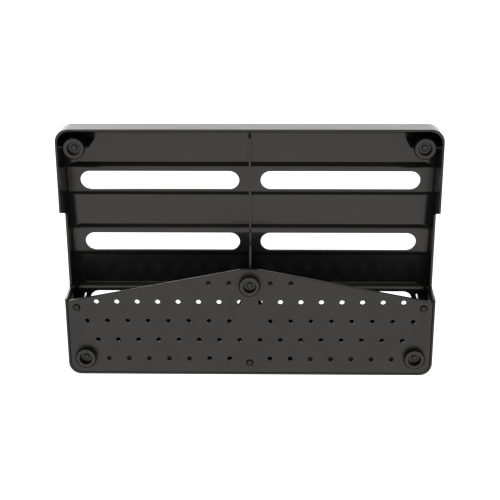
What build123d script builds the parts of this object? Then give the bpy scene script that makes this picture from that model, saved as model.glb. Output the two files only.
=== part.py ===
"""A sheet-metal guitar pedalboard, standing on its five rubber feet.

The frame is at the object's real size in millimetres. X runs from left to right, -Y is the
low front edge and +Y the high rear edge, and Z = 0 is the floor under the rubber feet. The
origin is below the middle of the board.
"""

import os
from math import cos, radians, sin, tan

from build123d import *

os.makedirs("parts", exist_ok=True)

# ---- driving dimensions ------------------------------------------------------------------

board_width = 452.0
board_depth = 311.5
corner_radius = 15.5
inner_corner_radius = 14.5
sheet = 3.0
foot_height = 8.0
rim_radius = 1.2

deck_angle = 8.1
front_wall_height = 42.0
deck_edge_radius = 12.0
deck_inner_radius = 14.0

slot_pitch = 82.1
first_slot_from_front = 71.1
slot_length = 193.0
slot_width = 24.0
slot_gap = 26.0
slot_edge_radius = 0.6

channel_depth = 6.9
channel_land = 12.9
channel_wall_angle = 53.0
channel_lip_radius = 1.0
channel_floor_radius = 7.3
channel_length = 420.0
channel_margin = 8.0
channel_end_radius = 6.0

side_opening_height = 34.5
side_opening_foot = (101.0, 210.8)
side_opening_head = (112.0, 205.8)
side_opening_radius = 2.5
side_opening_edge_radius = 0.6

slit_radius = 19.4
slit_width = 1.7
slit_half_angle = 24.5

plate_clearance = 0.25
plate_corner_radius = 14.2
plate_side_reach = 213.3
plate_middle_reach = 171.8
plate_middle_half_width = 11.3
plate_edge_chamfer = 0.5
hole_pitch = 25.0
hole_radius = 3.0
# each row of holes: distance behind the front face, holes on each side, first hole's X
hole_rows = [
    (189.3, 2, hole_pitch),
    (214.3, 8, hole_pitch / 2),
    (239.3, 8, hole_pitch),
    (264.3, 8, hole_pitch / 2),
    (289.3, 7, hole_pitch),
]

rib_thickness = 2.6
rib_drop = 8.0
rib_nose = (14.0, 18.0)
rib_level_end = 142.0
rib_slope_end = (158.0, 59.5)
rib_step = (165.8, 55.0)
rib_leg = (199.8, 206.8)
rib_leg_top = 45.0

front_foot_from_front = 21.0
rear_foot_from_front = 286.8
corner_foot_x = 202.8
centre_foot_from_front = 191.2

side_screw_x = 212.0
side_screw_from_front = 221.8
rear_screw_from_front = 295.0

foot_top_radius = 12.0
foot_bottom_radius = 13.4
foot_edge_radius = 2.1
foot_recess_edge_radius = 0.8
foot_recess_radius = 7.5
foot_recess_depth = 6.6
screw_clearance = 0.25
thread_radius = 2.0
thread_clearance = 0.02
washer_radius = 6.0
washer_thickness = 0.8
foot_head_radius = 4.0
foot_head_height = 2.0
socket_radius = 1.45
socket_depth = 1.4
boss_screw_length = 14.0
screw_past_nut = 1.5
nut_across_flats = 7.0
nut_height = 3.2

plate_thread_radius = 2.5
plate_head_radius = 4.7
plate_head_height = 2.2
head_edge_radius = 1.6
insert_radius = 4.6
insert_height = 5.0
insert_chamfer = 0.4
screw_past_insert = 1.0

bracket_sheet = 2.0
boss_radius = 7.0
gusset_inner_x = 187.0
rail_span = (62.0, 190.0)
rail_reach = 280.0
rail_height = 25.0
tab_width = 28.0
side_tab_length = 16.0
side_tab_reach = 202.0

# overlap of two pieces of one sheet, and the tolerance for picking edges
blend = 0.05

# ---- derived dimensions ------------------------------------------------------------------

half_width = board_width / 2
half_depth = board_depth / 2
slope = tan(radians(deck_angle))
wall_base = foot_height
sheet_rise = sheet / cos(radians(deck_angle))
underside_front = wall_base + front_wall_height - sheet_rise
inner_half_width = half_width - sheet
inner_half_depth = half_depth - sheet
plate_top = wall_base + sheet
deck_normal = (0, -sin(radians(deck_angle)), cos(radians(deck_angle)))
deck_run = (0, cos(radians(deck_angle)), sin(radians(deck_angle)))
slot_rows = [first_slot_from_front + slot_pitch * row for row in range(3)]
slot_centre_x = (slot_gap + slot_length) / 2
foot_hole_radius = thread_radius + screw_clearance
plate_screw_hole_radius = plate_thread_radius + screw_clearance
through_cut = 4 * channel_depth


def from_front(distance):
    """Y of a point this far behind the front face."""
    return distance - half_depth


def underside_z(distance):
    """Height of the deck's underside at this distance behind the front face."""
    return underside_front + slope * distance


def deck_plane(distance, rise=0.0):
    """Plane in the deck, its normal up, `rise` above the underside at this distance."""
    origin = Vector(0, from_front(distance), underside_z(distance)) + Vector(deck_normal) * rise
    return Plane(origin=origin, x_dir=(1, 0, 0), z_dir=deck_normal)


def section_plane(distance):
    """Plane across the deck, seen along X: local x runs up the deck, local y is its normal."""
    origin = (0, from_front(distance), underside_z(distance))
    return Plane(origin=origin, x_dir=deck_run, z_dir=(1, 0, 0))


def upright_plane(x, y):
    """Upright plane through a vertical axis: local x is X and local y is Z."""
    return Plane(origin=(x, y, 0), x_dir=(1, 0, 0), z_dir=(0, -1, 0))


def angle_outline(edge, wall):
    """Draw an angle section on the plate's top: a flange from `edge` to `wall`, and a leg up it."""
    leg = wall - bracket_sheet if wall > 0 else wall + bracket_sheet
    Polyline(
        (edge, plate_top),
        (wall, plate_top),
        (wall, plate_top + rail_height),
        (leg, plate_top + rail_height),
        (leg, plate_top + bracket_sheet),
        (edge, plate_top + bracket_sheet),
        close=True,
    )


def finish(builder, name):
    """Label a finished piece and write it."""
    builder.part.label = name
    export_step(builder.part, f"parts/{name}.step")


# ---- outer form and inner space of the chassis, shared by the pieces that fit in it ------

with BuildPart() as envelope:
    with BuildSketch(Plane.XY.offset(wall_base)):
        RectangleRounded(board_width, board_depth, corner_radius)
    extrude(amount=board_depth)
    split(bisect_by=deck_plane(0, sheet), keep=Keep.BOTTOM)
    fillet(envelope.faces().sort_by(Axis.Z)[-1].edges(), deck_edge_radius)

with BuildPart() as cavity:
    with BuildSketch(Plane.XY.offset(wall_base - foot_height)):
        RectangleRounded(2 * inner_half_width, 2 * inner_half_depth, inner_corner_radius)
    extrude(amount=board_depth)
    split(bisect_by=deck_plane(0), keep=Keep.BOTTOM)
    fillet(cavity.faces().sort_by(Axis.Z)[-1].edges(), deck_inner_radius)

# ---- the channels that carry the slots ---------------------------------------------------

half_bend = tan(radians(channel_wall_angle / 2))
floor_corner = channel_land + channel_floor_radius * half_bend
lip_corner = floor_corner + channel_depth / tan(radians(channel_wall_angle))
channel_reach = lip_corner + channel_margin

channel_undersides = []
channel_grooves = []
for row_distance in slot_rows:
    with BuildPart() as underside:
        with BuildSketch(section_plane(row_distance)):
            with BuildLine():
                FilletPolyline(
                    (-channel_reach, blend),
                    (-lip_corner, blend),
                    (-floor_corner, -channel_depth),
                    (floor_corner, -channel_depth),
                    (lip_corner, blend),
                    (channel_reach, blend),
                    radius=[
                        channel_lip_radius,
                        channel_floor_radius,
                        channel_floor_radius,
                        channel_lip_radius,
                    ],
                )
                Polyline(
                    (channel_reach, blend),
                    (channel_reach, sheet / 2),
                    (-channel_reach, sheet / 2),
                    (-channel_reach, blend),
                )
            make_face()
        extrude(amount=inner_half_width + sheet / 2, both=True)
        add(envelope.part, mode=Mode.INTERSECT)
    channel_undersides.append(underside.part)

    with BuildPart() as groove:
        with BuildSketch(section_plane(row_distance)):
            with BuildLine():
                inset = sheet * half_bend
                FilletPolyline(
                    (-channel_reach, sheet + blend),
                    (-lip_corner + inset, sheet + blend),
                    (-floor_corner + inset, sheet - channel_depth),
                    (floor_corner - inset, sheet - channel_depth),
                    (lip_corner - inset, sheet + blend),
                    (channel_reach, sheet + blend),
                    radius=[
                        channel_lip_radius + sheet,
                        channel_floor_radius - sheet,
                        channel_floor_radius - sheet,
                        channel_lip_radius + sheet,
                    ],
                )
                Polyline(
                    (channel_reach, sheet + blend),
                    (channel_reach, 2 * sheet),
                    (-channel_reach, 2 * sheet),
                    (-channel_reach, sheet + blend),
                )
            make_face()
        extrude(amount=channel_length / 2, both=True)
        with BuildSketch(deck_plane(row_distance, -channel_depth)):
            RectangleRounded(channel_length, 2 * lip_corner, channel_end_radius)
        extrude(amount=3 * channel_depth, mode=Mode.INTERSECT)
    channel_grooves.append(groove.part)

# ---- chassis: deck, four walls, channels, slots and side openings ------------------------


def is_slot_rim(edge, row_distance):
    """True for an edge around a slot of this row, on either side of the channel's floor."""
    place = deck_plane(row_distance, -channel_depth).to_local_coords(edge.center())
    on_floor = abs(place.Z) < blend or abs(place.Z - sheet) < blend
    beside_slot = abs(place.Y) < slot_width / 2 + blend
    return on_floor and beside_slot and abs(abs(place.X) - slot_centre_x) < slot_length / 2 + blend


def is_side_opening_rim(edge):
    """True for an edge around a side opening, on either face of the wall, above its foot."""
    centre = edge.center()
    front, rear = side_opening_foot[0] - blend, side_opening_foot[1] + blend
    on_wall = min(abs(abs(centre.X) - half_width), abs(abs(centre.X) - inner_half_width)) < blend
    in_opening = from_front(front) < centre.Y < from_front(rear)
    above_foot = wall_base + rim_radius < centre.Z < wall_base + side_opening_height + blend
    return on_wall and in_opening and above_foot


with BuildPart() as chassis:
    add(envelope.part)
    add(cavity.part, mode=Mode.SUBTRACT)
    fillet(chassis.faces().sort_by(Axis.Z)[0].edges(), rim_radius)
    for channel_underside, channel_groove in zip(channel_undersides, channel_grooves):
        add(channel_underside)
        add(channel_groove, mode=Mode.SUBTRACT)

    for row_distance in slot_rows:
        with BuildSketch(deck_plane(row_distance, -through_cut / 2)):
            with Locations((-slot_centre_x, 0), (slot_centre_x, 0)):
                SlotOverall(slot_length, slot_width)
        extrude(amount=through_cut, mode=Mode.SUBTRACT)
        slot_rims = chassis.edges().filter_by(lambda edge: is_slot_rim(edge, row_distance))
        fillet(slot_rims, slot_edge_radius)

    # narrow arc slits that follow the outer ends of the rear slots
    with BuildSketch(deck_plane(slot_rows[-1], -through_cut / 2)):
        for side in (-1, 1):
            end_x = side * (slot_centre_x + (slot_length - slot_width) / 2)
            start = -slit_half_angle if side > 0 else 180 - slit_half_angle
            with BuildLine():
                CenterArc((end_x, 0), slit_radius, start, 2 * slit_half_angle)
                offset(amount=slit_width / 2)
            make_face()
    extrude(amount=through_cut, mode=Mode.SUBTRACT)

    # openings in the side walls, from the floor edge up to a lip
    with BuildSketch(Plane.YZ) as side_opening:
        with BuildLine():
            Polyline(
                (from_front(side_opening_foot[0]), wall_base),
                (from_front(side_opening_head[0]), wall_base + side_opening_height),
                (from_front(side_opening_head[1]), wall_base + side_opening_height),
                (from_front(side_opening_foot[1]), wall_base),
                close=True,
            )
        make_face()
        fillet(side_opening.vertices().group_by(Axis.Y)[-1], side_opening_radius)
    extrude(amount=board_width, both=True, mode=Mode.SUBTRACT)
    fillet(chassis.edges().filter_by(is_side_opening_rim), side_opening_edge_radius)

finish(chassis, "chassis")

# ---- perforated plate across the rear of the underside -----------------------------------

plate_half_width = inner_half_width - plate_clearance
plate_rear = inner_half_depth - plate_clearance

with BuildPart() as plate:
    with BuildSketch(Plane.XY.offset(wall_base)) as plate_outline:
        with BuildLine():
            Polyline(
                (-plate_half_width, plate_rear),
                (-plate_half_width, from_front(plate_side_reach)),
                (-plate_middle_half_width, from_front(plate_middle_reach)),
                (plate_middle_half_width, from_front(plate_middle_reach)),
                (plate_half_width, from_front(plate_side_reach)),
                (plate_half_width, plate_rear),
                close=True,
            )
        make_face()
        fillet(plate_outline.vertices().group_by(Axis.Y)[-1], plate_corner_radius)
        fillet(plate_outline.vertices().group_by(Axis.Y)[0], plate_middle_half_width / 2)
        for row_distance, count, first_x in hole_rows:
            for index in range(count):
                hole_x = first_x + hole_pitch * index
                with Locations(
                    (-hole_x, from_front(row_distance)), (hole_x, from_front(row_distance))
                ):
                    Circle(hole_radius, mode=Mode.SUBTRACT)
        with Locations(
            (-corner_foot_x, from_front(rear_foot_from_front)),
            (corner_foot_x, from_front(rear_foot_from_front)),
            (0, from_front(centre_foot_from_front)),
        ):
            Circle(foot_hole_radius, mode=Mode.SUBTRACT)
        with Locations(
            (-side_screw_x, from_front(side_screw_from_front)),
            (side_screw_x, from_front(side_screw_from_front)),
            (0, from_front(rear_screw_from_front)),
        ):
            Circle(plate_screw_hole_radius, mode=Mode.SUBTRACT)
    extrude(amount=sheet)
    chamfer(plate.faces().sort_by(Axis.Z)[0].outer_wire().edges(), plate_edge_chamfer)

finish(plate, "rear_plate")

# ---- centre rib: follows the deck, deepens in two slopes and stands on the plate by a leg -

with BuildPart() as rib:
    with BuildSketch(Plane.YZ):
        with BuildLine():
            Polyline(
                (from_front(rib_nose[0]), underside_z(rib_nose[0]) + sheet),
                (from_front(rib_nose[0]), underside_z(rib_nose[0])),
                (from_front(rib_nose[1]), underside_z(rib_nose[1]) - rib_drop),
                (from_front(rib_level_end), underside_z(rib_level_end) - rib_drop),
                (from_front(rib_slope_end[0]), rib_slope_end[1]),
                (from_front(rib_step[0]), rib_step[1]),
                (from_front(rib_leg[0]), rib_leg_top),
                (from_front(rib_leg[0]), plate_top),
                (from_front(rib_leg[1]), plate_top),
                (from_front(rib_leg[1]), underside_z(rib_leg[1]) + sheet),
                close=True,
            )
        make_face()
    extrude(amount=rib_thickness / 2, both=True)
    add(cavity.part, mode=Mode.INTERSECT)
    for channel_underside in channel_undersides:
        add(channel_underside, mode=Mode.SUBTRACT)

finish(rib, "centre_rib")

# ---- brackets: front foot brackets, plate rails, middle tab and side tabs ----------------

for name, side in {"front_left": -1, "front_right": 1}.items():
    foot_x = side * corner_foot_x
    foot_y = from_front(front_foot_from_front)
    gusset_width = inner_half_width - gusset_inner_x
    with BuildPart() as bracket:
        with BuildSketch(Plane.XY.offset(wall_base)):
            with Locations((side * (gusset_inner_x + gusset_width / 2), foot_y)):
                Rectangle(gusset_width, bracket_sheet)
            with Locations((foot_x, foot_y)):
                Circle(boss_radius)
                Circle(thread_radius + thread_clearance, mode=Mode.SUBTRACT)
        extrude(amount=board_depth)
        add(cavity.part, mode=Mode.INTERSECT)
    finish(bracket, f"{name}_foot_bracket")

for name, side in {"left": -1, "right": 1}.items():
    with BuildPart() as rail:
        with BuildSketch(Plane.YZ.offset(side * rail_span[0])):
            with BuildLine():
                angle_outline(from_front(rail_reach), inner_half_depth)
            make_face()
        extrude(amount=side * (rail_span[1] - rail_span[0]))
    finish(rail, f"rear_{name}_rail")

with BuildPart() as tab:
    with BuildSketch(Plane.YZ):
        with BuildLine():
            angle_outline(from_front(rail_reach), inner_half_depth)
        make_face()
    extrude(amount=tab_width / 2, both=True)
    with BuildSketch(Plane.XY.offset(wall_base)):
        with Locations((0, from_front(rear_screw_from_front))):
            Circle(plate_thread_radius + thread_clearance)
    extrude(amount=2 * sheet, mode=Mode.SUBTRACT)
finish(tab, "rear_middle_tab")

for name, side in {"left": -1, "right": 1}.items():
    with BuildPart() as side_tab:
        with BuildSketch(Plane.XZ.offset(-from_front(side_screw_from_front))):
            with BuildLine():
                angle_outline(side * side_tab_reach, side * inner_half_width)
            make_face()
        extrude(amount=side_tab_length / 2, both=True)
        with BuildSketch(Plane.XY.offset(wall_base)):
            with Locations((side * side_screw_x, from_front(side_screw_from_front))):
                Circle(plate_thread_radius + thread_clearance)
        extrude(amount=2 * sheet, mode=Mode.SUBTRACT)
    finish(side_tab, f"{name}_side_tab")

# ---- five rubber feet, each with its washer and screw ------------------------------------

foot_centres = {
    "front_left": (-corner_foot_x, from_front(front_foot_from_front)),
    "front_right": (corner_foot_x, from_front(front_foot_from_front)),
    "rear_left": (-corner_foot_x, from_front(rear_foot_from_front)),
    "rear_right": (corner_foot_x, from_front(rear_foot_from_front)),
    "centre": (0, from_front(centre_foot_from_front)),
}
washer_bottom = foot_recess_depth - washer_thickness
head_bottom = washer_bottom - foot_head_height
front_screw_tip = foot_height + boss_screw_length
plate_screw_tip = plate_top + nut_height + screw_past_nut

for name, (foot_x, foot_y) in foot_centres.items():
    with BuildPart() as foot:
        with BuildSketch(upright_plane(foot_x, foot_y)) as foot_profile:
            with BuildLine():
                Polyline(
                    (foot_recess_radius, 0),
                    (foot_bottom_radius, 0),
                    (foot_top_radius, foot_height),
                    (foot_hole_radius, foot_height),
                    (foot_hole_radius, foot_recess_depth),
                    (foot_recess_radius, foot_recess_depth),
                    close=True,
                )
            make_face()
            outer_rim = foot_profile.vertices().group_by(Axis.Y)[0].sort_by(Axis.X)[-1]
            fillet(outer_rim, foot_edge_radius)
            recess_rim = foot_profile.vertices().group_by(Axis.Y)[0].sort_by(Axis.X)[0]
            fillet(recess_rim, foot_recess_edge_radius)
        revolve(axis=Axis((foot_x, foot_y, 0), (0, 0, 1)))
    finish(foot, f"{name}_foot")

    with BuildPart() as washer:
        with BuildSketch(Plane.XY.offset(washer_bottom)):
            with Locations((foot_x, foot_y)):
                Circle(washer_radius)
                Circle(foot_hole_radius, mode=Mode.SUBTRACT)
        extrude(amount=washer_thickness)
    finish(washer, f"{name}_foot_washer")

    tip = front_screw_tip if name.startswith("front") else plate_screw_tip
    with BuildPart() as screw:
        with BuildSketch(Plane.XY.offset(head_bottom)):
            with Locations((foot_x, foot_y)):
                Circle(foot_head_radius)
        extrude(amount=foot_head_height)
        fillet(screw.edges().sort_by(Axis.Z)[0], head_edge_radius)
        with BuildSketch(Plane.XY.offset(washer_bottom)):
            with Locations((foot_x, foot_y)):
                Circle(thread_radius)
        extrude(amount=tip - washer_bottom)
        with BuildSketch(Plane.XY.offset(head_bottom)):
            with Locations((foot_x, foot_y)):
                RegularPolygon(socket_radius, 6)
        extrude(amount=socket_depth, mode=Mode.SUBTRACT)
    finish(screw, f"{name}_foot_screw")

for name in ("rear_left", "rear_right", "centre"):
    with BuildPart() as nut:
        with BuildSketch(Plane.XY.offset(plate_top)):
            with Locations(foot_centres[name]):
                RegularPolygon(nut_across_flats / 2, 6, major_radius=False)
                Circle(thread_radius + thread_clearance, mode=Mode.SUBTRACT)
        extrude(amount=nut_height)
    finish(nut, f"{name}_foot_nut")

# ---- three screws that hold the plate, and the threaded inserts they turn into -----------

plate_screw_centres = {
    "left": (-side_screw_x, from_front(side_screw_from_front)),
    "right": (side_screw_x, from_front(side_screw_from_front)),
    "middle": (0, from_front(rear_screw_from_front)),
}
insert_bottom = plate_top + bracket_sheet

for name, (screw_x, screw_y) in plate_screw_centres.items():
    with BuildPart() as plate_screw:
        with BuildSketch(Plane.XY.offset(wall_base - plate_head_height)):
            with Locations((screw_x, screw_y)):
                Circle(plate_head_radius)
        extrude(amount=plate_head_height)
        fillet(plate_screw.edges().sort_by(Axis.Z)[0], head_edge_radius)
        with BuildSketch(Plane.XY.offset(wall_base)):
            with Locations((screw_x, screw_y)):
                Circle(plate_thread_radius)
        extrude(amount=insert_bottom + insert_height + screw_past_insert - wall_base)
        with BuildSketch(Plane.XY.offset(wall_base - plate_head_height)):
            with Locations((screw_x, screw_y)):
                RegularPolygon(socket_radius, 6)
        extrude(amount=socket_depth, mode=Mode.SUBTRACT)
    finish(plate_screw, f"plate_screw_{name}")

    with BuildPart() as insert:
        with BuildSketch(Plane.XY.offset(insert_bottom)):
            with Locations((screw_x, screw_y)):
                Circle(insert_radius)
                Circle(plate_thread_radius + thread_clearance, mode=Mode.SUBTRACT)
        extrude(amount=insert_height)
        chamfer(insert.edges().filter_by(GeomType.CIRCLE).sort_by(Axis.Z)[-1], insert_chamfer)
    finish(insert, f"plate_insert_{name}")
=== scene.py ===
"""Looks of a black powder-coated pedalboard, seen from below and in front of its low edge.

Every length is in metres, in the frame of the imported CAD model: X runs left to right, -Y is
the low front edge, Z is up and Z = 0 is the floor under the rubber feet.
"""

import math

import bmesh
import bpy
from mathutils import Matrix, Quaternion, Vector


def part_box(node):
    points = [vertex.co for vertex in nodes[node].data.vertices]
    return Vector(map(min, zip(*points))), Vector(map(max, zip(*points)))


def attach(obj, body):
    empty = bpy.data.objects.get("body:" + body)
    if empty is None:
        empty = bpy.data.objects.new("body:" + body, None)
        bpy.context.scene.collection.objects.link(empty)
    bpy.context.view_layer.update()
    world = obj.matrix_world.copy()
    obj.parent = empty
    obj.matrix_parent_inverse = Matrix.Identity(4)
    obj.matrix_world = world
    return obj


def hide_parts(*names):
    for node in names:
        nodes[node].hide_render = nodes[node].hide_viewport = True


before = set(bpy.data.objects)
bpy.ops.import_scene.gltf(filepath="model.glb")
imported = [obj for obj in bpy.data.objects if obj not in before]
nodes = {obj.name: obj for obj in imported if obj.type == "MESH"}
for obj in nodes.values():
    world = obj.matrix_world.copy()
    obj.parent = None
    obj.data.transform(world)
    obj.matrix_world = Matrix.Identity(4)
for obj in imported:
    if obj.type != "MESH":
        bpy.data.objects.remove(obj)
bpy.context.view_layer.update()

MM = 0.001

# ---- camera, floor and light -------------------------------------------------------------

CAMERA_PLACE = Vector((0.0247, -0.4204, -1.1798))
CAMERA_PITCH = math.radians(19.097)
CAMERA_YAW = math.radians(-1.096)
CAMERA_ROLL = math.radians(0.174)
CAMERA_LENS = 75.6
SENSOR_WIDTH = 36.0

FLOOR_SIZE = 6.0
FLOOR_ALBEDO = 0.62

SKY_STRENGTH = 1.44
GROUND_STRENGTH = 1.2
HORIZON_STRENGTH = 0.06
DIM_BELOW = math.radians(22)
BRIGHT_ABOVE = math.radians(50)

KEY_PLACE = Vector((-1.0, -1.0, 1.4))
KEY_AIM = Vector((0, 0, 0))
KEY_SIZE = 1.0
KEY_RADIANCE = 7.0

# ---- finishes ----------------------------------------------------------------------------

WARM_SHINE = (1.0, 0.967, 0.905, 1.0)
COLOUR_STEPS = (0.35, 0.65)  # noise values where a colour is fully dark and fully light
NOISE_MIDDLE = (0.3, 0.7)  # nearly all of a noise's values lie between these
FACING_DOWN = (-0.86, -0.97)  # from this normal Z a rubber face starts to get its full shine, at that it has it fully; steeper sides keep the low shine that paints shade on them
SHADED_SIDE_AND_FACE_SHINE = (0.08, 0.55)  # specular level of the sides, turned down to paint shade on them, and of the face that faces down

# ---- screws ------------------------------------------------------------------------------

SCREW_SIDES = 48
SHARP_EDGE = math.radians(35)
SOCKET_RADIUS = 1.45 * MM
SOCKET_DEPTH = 1.4 * MM
SOCKET_FLOOR_SHARE = 0.92  # the socket's floor, as a share of its radius
SOCKET_FLOOR_CHAMFER = 0.1 * MM
SOCKET_RIM_CHAMFER = 0.15 * MM
THREAD_PITCH = 0.8 * MM
THREAD_DEPTH = 0.35 * MM
THREAD_CREST = (0.4, 0.5)  # where a ridge's crest starts and ends, as shares of the pitch
THREAD_FOOT = 0.9  # where the ridge is back at the neck
TIP_CHAMFER = 0.3 * MM

# points of a head's bevel, as shares of its radius and of its height
PLATE_HEAD_HEIGHT = 2.2 * MM
PLATE_THREAD_RADIUS = 2.5 * MM
PLATE_HEAD_BEVEL = (
    (0.58, 0), (0.63, 0.03), (0.68, 0.1), (0.76, 0.27), (0.85, 0.48), (0.93, 0.68), (0.98, 0.86),
)
FOOT_HEAD_HEIGHT = 2.0 * MM
FOOT_THREAD_RADIUS = 2.0 * MM
FOOT_HEAD_BEVEL = ((0.62, 0), (0.72, 0.04), (0.82, 0.15), (0.92, 0.36), (0.98, 0.65), (1.0, 0.85))


def make_camera():
    """Camera below the board, tilted so that it looks up and towards the rear edge."""
    data = bpy.data.cameras.new("camera")
    data.lens = CAMERA_LENS
    data.sensor_width = SENSOR_WIDTH
    camera = bpy.data.objects.new("camera", data)
    forward = Vector((0.0, math.sin(CAMERA_PITCH), math.cos(CAMERA_PITCH)))
    up = Vector((0.0, -math.cos(CAMERA_PITCH), math.sin(CAMERA_PITCH)))
    forward.rotate(Quaternion(up, -CAMERA_YAW))
    up.rotate(Quaternion(forward, -CAMERA_ROLL))
    turn = Matrix((forward.cross(up), up, -forward)).transposed().to_4x4()
    camera.matrix_world = Matrix.Translation(CAMERA_PLACE) @ turn
    bpy.context.scene.collection.objects.link(camera)
    bpy.context.scene.camera = camera


def make_floor():
    """Pale floor that shows only from above, so that the underside can be seen through it."""
    half = FLOOR_SIZE / 2
    mesh = bpy.data.meshes.new("floor")
    corners = [(-half, -half, 0), (half, -half, 0), (half, half, 0), (-half, half, 0)]
    mesh.from_pydata(corners, [], [(0, 1, 2, 3)])
    floor = bpy.data.objects.new("floor", mesh)
    bpy.context.scene.collection.objects.link(floor)

    material = bpy.data.materials.new("floor")
    material.use_nodes = True
    tree = material.node_tree
    tree.nodes.clear()
    output = tree.nodes.new("ShaderNodeOutputMaterial")
    mix = tree.nodes.new("ShaderNodeMixShader")
    paint = tree.nodes.new("ShaderNodeBsdfDiffuse")
    paint.inputs["Color"].default_value = (FLOOR_ALBEDO, FLOOR_ALBEDO, FLOOR_ALBEDO, 1)
    clear = tree.nodes.new("ShaderNodeBsdfTransparent")
    geometry = tree.nodes.new("ShaderNodeNewGeometry")
    tree.links.new(geometry.outputs["Backfacing"], mix.inputs["Fac"])
    tree.links.new(paint.outputs["BSDF"], mix.inputs[1])
    tree.links.new(clear.outputs["BSDF"], mix.inputs[2])
    tree.links.new(mix.outputs["Shader"], output.inputs["Surface"])
    mesh.materials.append(material)

    floor.visible_diffuse = False
    floor.visible_glossy = False
    floor.visible_transmission = False
    floor.visible_shadow = False


def make_world():
    """White in the view, and as light bright above and below but dim near the horizon."""
    scene = bpy.context.scene
    world = bpy.data.worlds.new("world")
    world.use_nodes = True
    tree = world.node_tree
    background = tree.nodes["Background"]
    direction = tree.nodes.new("ShaderNodeTexCoord")
    parts = tree.nodes.new("ShaderNodeSeparateXYZ")
    tree.links.new(direction.outputs["Generated"], parts.inputs["Vector"])
    shown = tree.nodes.new("ShaderNodeLightPath").outputs["Is Camera Ray"]
    for side, full_strength in ((1, SKY_STRENGTH), (-1, GROUND_STRENGTH)):
        strength = tree.nodes.new("ShaderNodeMapRange")
        strength.interpolation_type = "SMOOTHSTEP"
        strength.inputs["From Min"].default_value = side * math.sin(DIM_BELOW)
        strength.inputs["From Max"].default_value = side * math.sin(BRIGHT_ABOVE)
        strength.inputs["To Min"].default_value = HORIZON_STRENGTH
        strength.inputs["To Max"].default_value = full_strength
        tree.links.new(parts.outputs["Z"], strength.inputs["Value"])
        brighter = tree.nodes.new("ShaderNodeMath")
        brighter.operation = "MAXIMUM"
        tree.links.new(strength.outputs["Result"], brighter.inputs[0])
        tree.links.new(shown, brighter.inputs[1])
        shown = brighter.outputs["Value"]
    tree.links.new(shown, background.inputs["Strength"])
    background.inputs["Color"].default_value = (1, 1, 1, 1)
    scene.world = world
    scene.view_settings.view_transform = "Standard"
    scene.view_settings.look = "None"


def make_area_light(name, place, aim, size, radiance):
    """Square soft box that looks at a point and is this bright to look at."""
    data = bpy.data.lights.new(name, "AREA")
    data.shape = "SQUARE"
    data.size = size
    data.energy = radiance * math.pi * size**2
    light = bpy.data.objects.new(name, data)
    light.location = place
    light.rotation_euler = (aim - place).to_track_quat("-Z", "Y").to_euler()
    bpy.context.scene.collection.objects.link(light)


# ---- materials ---------------------------------------------------------------------------


class Shader:
    """One Principled material and the few procedural nodes that it is made from."""

    def __init__(self, name):
        self.material = bpy.data.materials.new(name)
        self.material.use_nodes = True
        self.tree = self.material.node_tree
        self.principled = self.tree.nodes["Principled BSDF"]
        self.place = self.tree.nodes.new("ShaderNodeTexCoord").outputs["Object"]
        self.bump = None

    def constant(self, **values):
        """Values that are the same all over, set on the shader's own sockets."""
        for socket, value in values.items():
            self.principled.inputs[socket.replace("_", " ")].default_value = value

    def noise(self, feature, detail=2.0, roughness=0.5):
        """Noise whose features are about this many metres across."""
        node = self.tree.nodes.new("ShaderNodeTexNoise")
        node.inputs["Scale"].default_value = 1 / feature
        node.inputs["Detail"].default_value = detail
        node.inputs["Roughness"].default_value = roughness
        self.tree.links.new(self.place, node.inputs["Vector"])
        return node.outputs["Fac"]

    def remap(self, value, span, low, high):
        """Value that is low at the start of the span and high at its end."""
        node = self.tree.nodes.new("ShaderNodeMapRange")
        node.inputs["From Min"].default_value = span[0]
        node.inputs["From Max"].default_value = span[1]
        node.inputs["To Min"].default_value = low
        node.inputs["To Max"].default_value = high
        self.tree.links.new(value, node.inputs["Value"])
        return node.outputs["Result"]

    def colour_between(self, value, dark, light):
        """Base colour that runs from dark to light with the value."""
        ramp = self.tree.nodes.new("ShaderNodeValToRGB")
        for step, position, colour in zip(ramp.color_ramp.elements, COLOUR_STEPS, (dark, light)):
            step.position = position
            step.color = (*colour, 1)
        self.tree.links.new(value, ramp.inputs["Fac"])
        self.tree.links.new(ramp.outputs["Color"], self.principled.inputs["Base Color"])

    def normal_height(self):
        """Z of the surface's normal: -1 where it faces straight down."""
        geometry = self.tree.nodes.new("ShaderNodeNewGeometry")
        parts = self.tree.nodes.new("ShaderNodeSeparateXYZ")
        self.tree.links.new(geometry.outputs["Normal"], parts.inputs["Vector"])
        return parts.outputs["Z"]

    def link(self, value, socket):
        """Let the value set this socket of the Principled shader."""
        self.tree.links.new(value, self.principled.inputs[socket])

    def uneven_roughness(self, feature, low, high):
        """Roughness that wanders between low and high over features of this size."""
        self.link(self.remap(self.noise(feature, 3), NOISE_MIDDLE, low, high), "Roughness")

    def add_bump(self, height, depth):
        """One more layer of relief, this many metres deep."""
        node = self.tree.nodes.new("ShaderNodeBump")
        node.inputs["Strength"].default_value = 1.0
        node.inputs["Distance"].default_value = depth
        self.tree.links.new(height, node.inputs["Height"])
        if self.bump:
            self.tree.links.new(self.bump, node.inputs["Normal"])
        self.bump = node.outputs["Normal"]
        self.link(self.bump, "Normal")


def powder_coat(name, dark, light, roughness, shine):
    """Satin black powder coat: orange peel over a very slightly uneven sheet."""
    shader = Shader(name)
    shader.constant(Specular_Tint=WARM_SHINE, Specular_IOR_Level=shine)
    shader.colour_between(shader.noise(60 * MM, 4), dark, light)
    shader.uneven_roughness(25 * MM, *roughness)
    shader.add_bump(shader.noise(1.6 * MM, 2), 0.02 * MM)
    shader.add_bump(shader.noise(0.35 * MM, 1), 0.004 * MM)
    return shader.material


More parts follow.
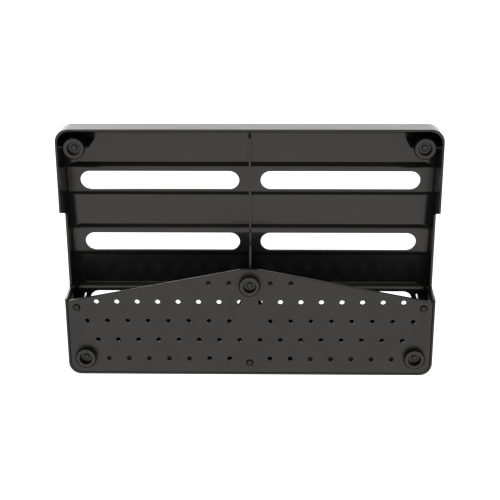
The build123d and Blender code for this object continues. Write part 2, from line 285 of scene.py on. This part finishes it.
def matte_coat(name):
    """Thin, dull black coat of the brackets."""
    shader = Shader(name)
    shader.colour_between(shader.noise(40 * MM, 4), (0.005, 0.005, 0.0052), (0.009, 0.009, 0.0093))
    shader.constant(Specular_IOR_Level=0.2)
    shader.uneven_roughness(15 * MM, 0.55, 0.7)
    shader.add_bump(shader.noise(0.9 * MM, 2), 0.015 * MM)
    return shader.material


def moulded_rubber(name):
    """Black moulded rubber, shiny on the face that faces down, with the shine of its sides turned down
    to paint shade on them.
    """
    shader = Shader(name)
    shader.colour_between(shader.noise(6 * MM, 4), (0.004, 0.004, 0.004), (0.007, 0.0068, 0.0066))
    shader.constant(Specular_Tint=WARM_SHINE)
    shader.uneven_roughness(3 * MM, 0.2, 0.3)
    # painted shade: the sides' specular level is lowered by their normal so they read dark; only the
    # face that faces down keeps its full shine
    shine = shader.remap(shader.normal_height(), FACING_DOWN, *SHADED_SIDE_AND_FACE_SHINE)
    shader.link(shine, "Specular IOR Level")
    shader.add_bump(shader.noise(0.3 * MM, 2), 0.02 * MM)
    return shader.material


def black_steel(name):
    """Black oxide on machined steel."""
    shader = Shader(name)
    shader.colour_between(shader.noise(2 * MM, 3), (0.003, 0.003, 0.0031), (0.006, 0.006, 0.006))
    shader.uneven_roughness(0.8 * MM, 0.08, 0.16)
    shader.add_bump(shader.noise(0.2 * MM, 2), 0.004 * MM)
    return shader.material


def dark_steel(name):
    """Bare dark steel with an oily shine."""
    shader = Shader(name)
    shader.colour_between(shader.noise(2 * MM, 3), (0.035, 0.035, 0.036), (0.06, 0.06, 0.06))
    shader.constant(Metallic=1.0)
    shader.uneven_roughness(0.8 * MM, 0.16, 0.26)
    shader.add_bump(shader.noise(0.2 * MM, 2), 0.004 * MM)
    return shader.material


def zinc_steel(name):
    """Zinc-plated steel, faintly mottled."""
    shader = Shader(name)
    shader.colour_between(shader.noise(1.5 * MM, 4), (0.48, 0.48, 0.46), (0.62, 0.61, 0.58))
    shader.constant(Metallic=1.0)
    shader.uneven_roughness(1 * MM, 0.22, 0.4)
    shader.add_bump(shader.noise(0.15 * MM, 2), 0.004 * MM)
    return shader.material


# ---- the pieces --------------------------------------------------------------------------


def hexagon(angle):
    """How far a hexagon with its corner at distance 1 reaches in this direction."""
    return math.cos(math.pi / 6) / math.cos(angle % (math.pi / 3) - math.pi / 6)


def circle(_angle):
    """How far a circle with radius 1 reaches in any direction."""
    return 1.0


def turned_piece(name, centre, rings, material):
    """Closed piece turned about an upright axis. A ring is (outline, radius, height)."""
    turns = [2 * math.pi * step / SCREW_SIDES for step in range(SCREW_SIDES)]
    points = []
    for outline, radius, height in rings:
        for turn in turns:
            reach = radius * outline(turn)
            points.append((centre.x + reach * math.cos(turn), centre.y + reach * math.sin(turn), height))
    faces = [tuple(range(SCREW_SIDES)), tuple(range(len(points) - SCREW_SIDES, len(points)))]
    for ring in range(len(rings) - 1):
        start = ring * SCREW_SIDES
        for step in range(SCREW_SIDES):
            after = (step + 1) % SCREW_SIDES
            low, high = start + step, start + after
            faces.append((low, high, high + SCREW_SIDES, low + SCREW_SIDES))
    mesh = bpy.data.meshes.new(name)
    mesh.from_pydata(points, [], faces)
    work = bmesh.new()
    work.from_mesh(mesh)
    bmesh.ops.recalc_face_normals(work, faces=work.faces)
    work.to_mesh(mesh)
    work.free()
    mesh.materials.append(material)
    mesh.shade_smooth()
    mesh.set_sharp_from_angle(angle=SHARP_EDGE)
    piece = bpy.data.objects.new(name, mesh)
    bpy.context.scene.collection.objects.link(piece)
    return piece


def make_screw(node, head_height, head_bevel, thread_radius, material):
    """Hexagon socket screw, head down, with a bevelled head and a ridged shank."""
    low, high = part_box(node)
    centre = Vector(((low[0] + high[0]) / 2, (low[1] + high[1]) / 2, 0))
    head_radius = (high[0] - low[0]) / 2
    face, seat, tip = low[2], low[2] + head_height, high[2]
    neck_radius = thread_radius - THREAD_DEPTH
    rings = [
        (hexagon, SOCKET_RADIUS * SOCKET_FLOOR_SHARE, face + SOCKET_DEPTH),
        (hexagon, SOCKET_RADIUS, face + SOCKET_DEPTH - SOCKET_FLOOR_CHAMFER),
        (hexagon, SOCKET_RADIUS, face + SOCKET_RIM_CHAMFER),
        (circle, SOCKET_RADIUS + SOCKET_RIM_CHAMFER, face),
    ]
    rings += [(circle, head_radius * across, face + head_height * along) for across, along in head_bevel]
    rings += [(circle, head_radius, seat), (circle, neck_radius, seat)]
    ridge_count = int((tip - seat) / THREAD_PITCH) - 2
    for ridge in range(ridge_count):
        start = seat + THREAD_PITCH * (ridge + 1)
        rings.append((circle, neck_radius, start))
        rings += [(circle, thread_radius, start + share * THREAD_PITCH) for share in THREAD_CREST]
        rings.append((circle, neck_radius, start + THREAD_FOOT * THREAD_PITCH))
    rings += [(circle, neck_radius, tip - TIP_CHAMFER), (circle, neck_radius - TIP_CHAMFER, tip)]
    piece = turned_piece(f"{node}_turned", centre, rings, material)
    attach(piece, "root")
    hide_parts(node)


def dress(name, material):
    """Give a CAD node its finish."""
    slots = nodes[name].data.materials
    slots.clear()
    slots.append(material)


make_camera()
make_floor()
make_world()
make_area_light("key", KEY_PLACE, KEY_AIM, KEY_SIZE, KEY_RADIANCE)

chassis_coat = powder_coat(
    "chassis_coat",
    dark=(0.008, 0.008, 0.0083),
    light=(0.011, 0.011, 0.0113),
    roughness=(0.2, 0.26),
    shine=0.53,
)
plate_coat = powder_coat(
    "plate_coat",
    dark=(0.009, 0.009, 0.0093),
    light=(0.012, 0.012, 0.0123),
    roughness=(0.36, 0.44),
    shine=0.545,
)
bracket_coat = matte_coat("bracket_coat")
rubber = moulded_rubber("foot_rubber")
screw_steel = black_steel("black_screw")
foot_screw_steel = dark_steel("foot_screw_steel")
plated_steel = zinc_steel("plain_steel")

for name in sorted(nodes):
    if name == "rear_plate":
        dress(name, plate_coat)
    elif name.endswith(("_bracket", "_rail", "_tab")):
        dress(name, bracket_coat)
    elif name.endswith("_foot"):
        dress(name, rubber)
    elif name.endswith("_foot_screw"):
        make_screw(name, FOOT_HEAD_HEIGHT, FOOT_HEAD_BEVEL, FOOT_THREAD_RADIUS, foot_screw_steel)
    elif name.startswith("plate_screw"):
        make_screw(name, PLATE_HEAD_HEIGHT, PLATE_HEAD_BEVEL, PLATE_THREAD_RADIUS, screw_steel)
    elif name.endswith("_washer"):
        dress(name, screw_steel)
    elif name.endswith("_nut") or name.startswith("plate_insert"):
        dress(name, plated_steel)
    else:
        dress(name, chassis_coat)
